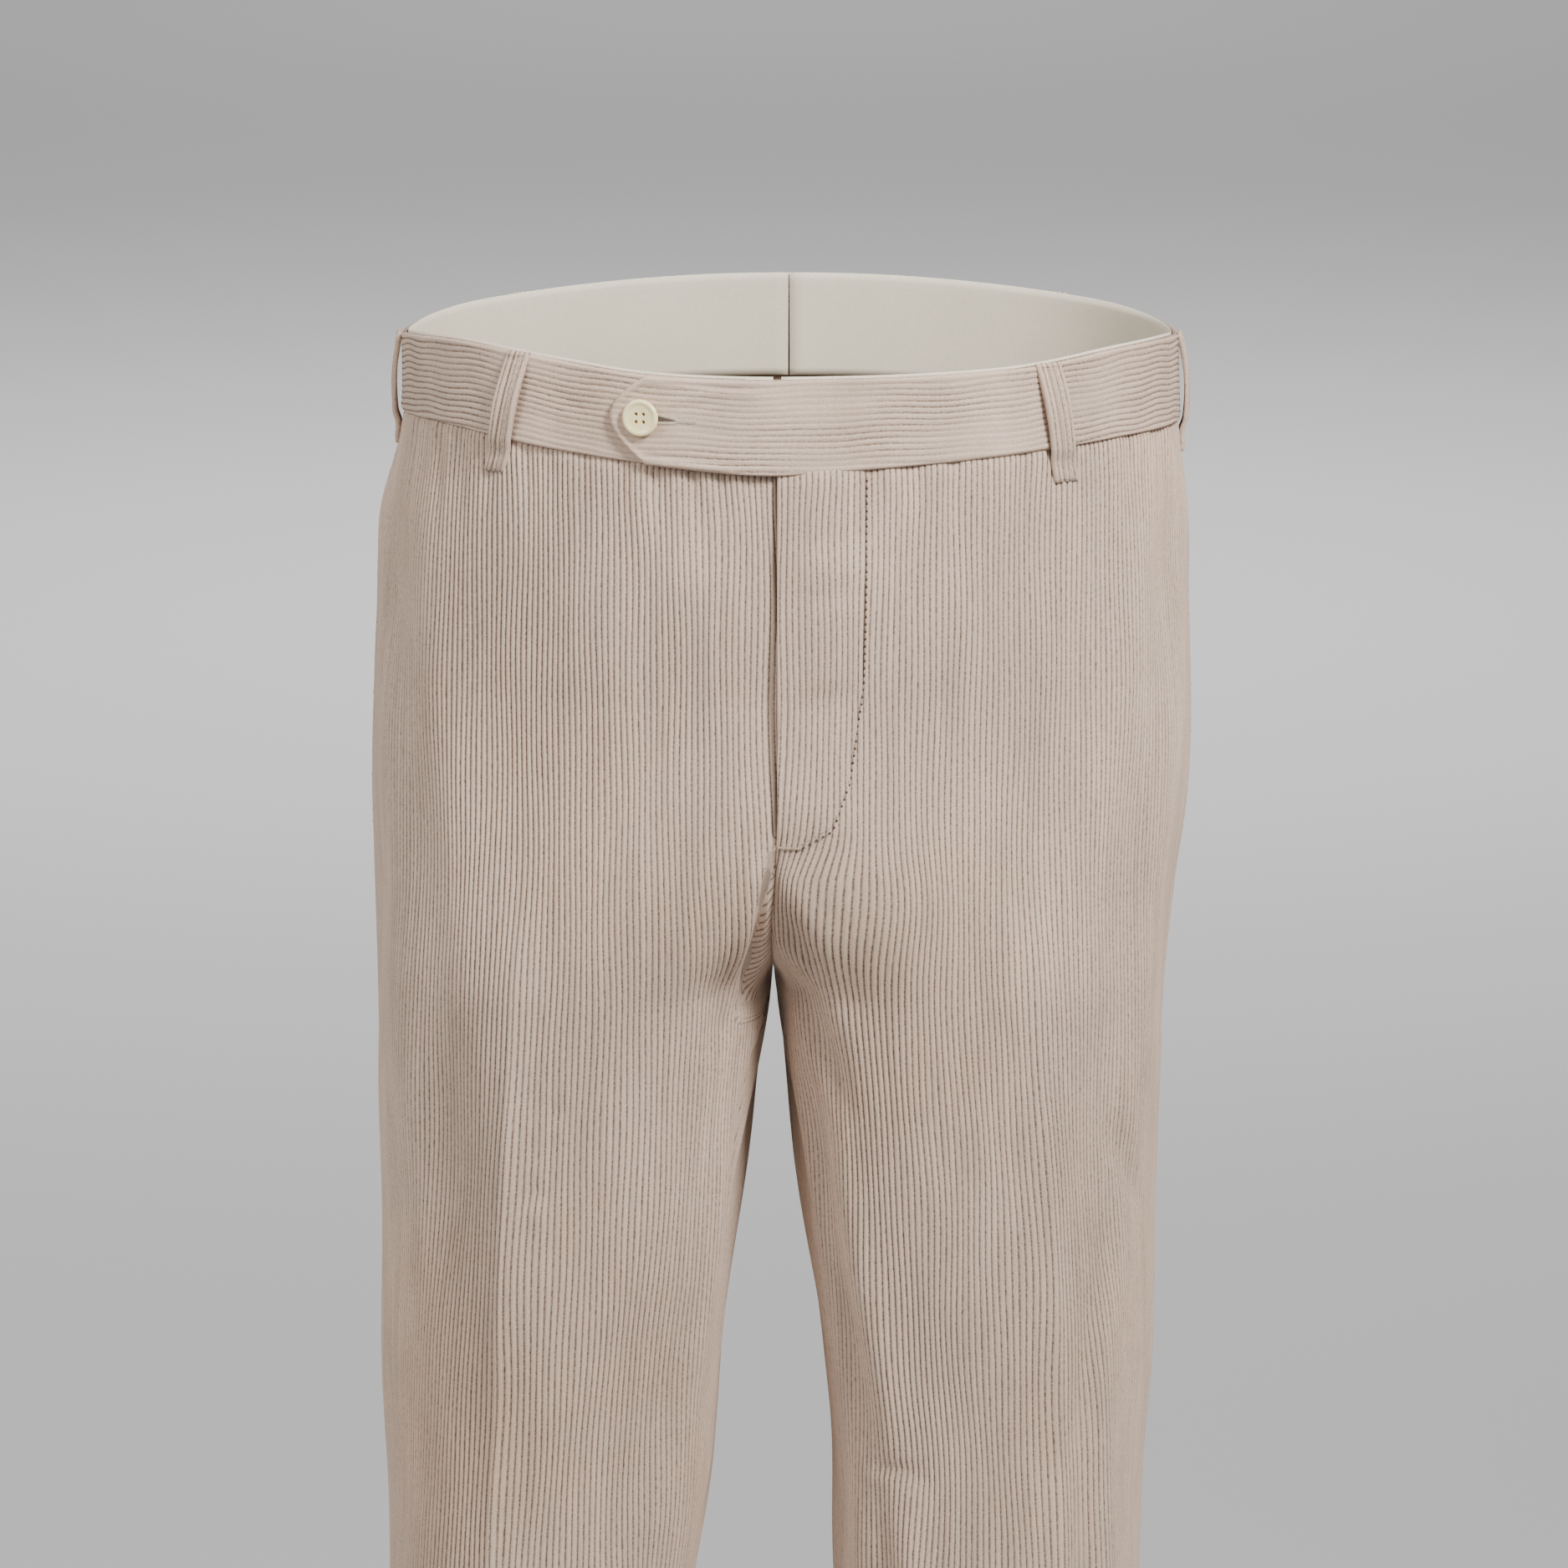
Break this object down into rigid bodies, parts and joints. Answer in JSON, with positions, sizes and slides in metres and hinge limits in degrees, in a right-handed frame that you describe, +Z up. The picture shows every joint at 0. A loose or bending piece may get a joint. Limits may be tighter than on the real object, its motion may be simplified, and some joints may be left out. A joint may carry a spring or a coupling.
{
  "type": "corduroy trousers",
  "caption": "Flat-front corduroy trousers in worn, hollow form, with a waistband that closes on a buttoned extension tab, belt loops, a lapped fly and pressed creases.",
  "frame": {"origin": "middle of the waist opening, level with the top of the waistband at the side seams", "axes": "+Z up towards the waist, -Y to the front, +X to the wearer's left"},
  "size_m": [0.353, 0.2789, 1.0826],
  "materials": {
    "corduroy": "stone beige ten-wale cotton corduroy with a soft brushed nap",
    "waistband_cotton": "plain woven cream cotton",
    "button": "polished ivory-coloured horn"
  },
  "bodies": {
    "root": {"front_left": "corduroy", "front_right": "corduroy", "back_left": "corduroy", "back_right": "corduroy", "waistband_left": "corduroy", "waistband_right": "corduroy", "loop_front_right": "corduroy", "loop_front_left": "corduroy", "loop_side_right": "corduroy", "loop_side_left": "corduroy", "loop_back_right": "corduroy", "loop_back_left": "corduroy", "loop_back_centre": "corduroy", "facing_left": "waistband_cotton", "facing_right": "waistband_cotton", "button": "button"}
  },
  "joints": []
}
